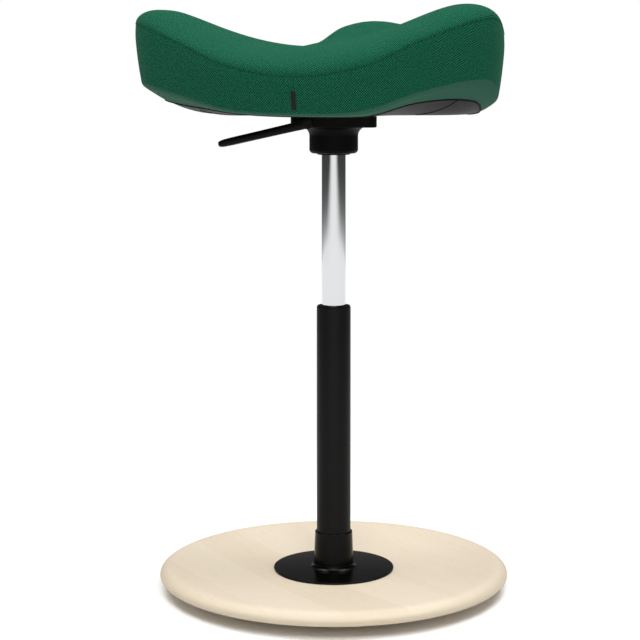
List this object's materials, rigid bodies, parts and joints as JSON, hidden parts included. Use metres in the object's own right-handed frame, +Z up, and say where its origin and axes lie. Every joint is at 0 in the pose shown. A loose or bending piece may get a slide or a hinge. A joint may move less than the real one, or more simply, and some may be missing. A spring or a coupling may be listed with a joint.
{
  "type": "perch stool",
  "caption": "Perch stool with a three-lobed green saddle seat, a height-adjustable gas-lift column with a release lever, and a dished round wooden base.",
  "frame": {"origin": "on the floor, under the middle of the base and the column axis", "axes": "+Z up along the column; +X to the right and -Y towards the person looking at the tag side of the seat, as in the picture"},
  "size_m": [0.4317, 0.41, 0.6829],
  "materials": {
    "birch_wood": "clear matt lacquer on moulded birch plywood",
    "shell_plywood": "raw moulded plywood",
    "black_paint": "satin black powder coat",
    "housing_paint": "matt black powder coat",
    "zinc_steel": "zinc plated",
    "chrome_tube": "polished hard chrome",
    "black_plastic": "moulded black plastic, fine texture",
    "black_rubber": "matt rubber",
    "valve_brass": "turned",
    "seat_foam": "moulded cold foam",
    "green_fabric": "tight diagonal weave with fine flecks",
    "grey_fabric": "fine dark grey lining cloth",
    "label_fabric": "blank woven tag"
  },
  "bodies": {
    "base": {"base_disc": "birch_wood", "base_flange": "black_paint", "base_washer_1": "zinc_steel", "base_washer_2": "zinc_steel", "base_washer_3": "zinc_steel", "base_washer_4": "zinc_steel", "base_nut_1": "zinc_steel", "base_nut_2": "zinc_steel", "base_nut_3": "zinc_steel", "base_nut_4": "zinc_steel", "rocker_pad": "black_rubber", "pad_screw_1": "zinc_steel", "pad_screw_2": "zinc_steel", "pad_screw_3": "zinc_steel", "outer_tube": "black_paint", "guide_sleeve": "black_plastic", "race_lower": "zinc_steel", "ball_cage": "zinc_steel"},
    "rod": {"race_upper": "zinc_steel", "stop_buffer": "black_rubber", "piston_rod": "zinc_steel", "rod_clip": "zinc_steel", "piston": "zinc_steel", "piston_seal": "black_rubber", "piston_nut": "zinc_steel"},
    "column": {"pressure_tube": "chrome_tube", "rod_guide": "black_plastic", "rod_seal": "black_rubber", "valve_body": "valve_brass", "hub_housing": "housing_paint", "hub_screw_1": "zinc_steel", "hub_screw_2": "zinc_steel", "hub_screw_3": "zinc_steel", "hub_screw_4": "zinc_steel", "shaft_bush_front": "black_plastic", "shaft_bush_back": "black_plastic", "seat_shell": "shell_plywood", "tee_nut_1": "zinc_steel", "tee_nut_2": "zinc_steel", "tee_nut_3": "zinc_steel", "tee_nut_4": "zinc_steel", "seat_foam": "seat_foam", "cover_top": "green_fabric", "cover_band": "green_fabric", "underside_panel": "grey_fabric", "seat_label": "label_fabric"},
    "lever": {"lever_shaft": "zinc_steel", "finger_pin": "zinc_steel", "press_finger": "zinc_steel", "lever_handle": "black_plastic"},
    "valve": {"valve_pin": "zinc_steel"}
  },
  "joints": [
    {"name": "seat_swivel", "type": "hinge", "parent": "base", "child": "rod", "pos_m": [0, 0, 0.03], "axis": [0, 0, 1], "continuous": true},
    {"name": "seat_lift", "type": "slide", "parent": "rod", "child": "column", "axis": [0, 0, 1], "range_m": [-0.165, 0.025]},
    {"name": "lever_lift", "type": "hinge", "parent": "column", "child": "lever", "pos_m": [-0.03, 0, 0.5494], "axis": [0, 1, 0], "range_deg": [0, 6.5], "stiffness_Nm_per_rad": 2},
    {"name": "valve_press", "type": "slide", "parent": "column", "child": "valve", "axis": [0, 0, 1], "range_m": [-0.0036, 0]}
  ],
  "couplings": [
    {"joint": "valve_press", "follows": "lever_lift", "m_per_rad": -0.03}
  ]
}
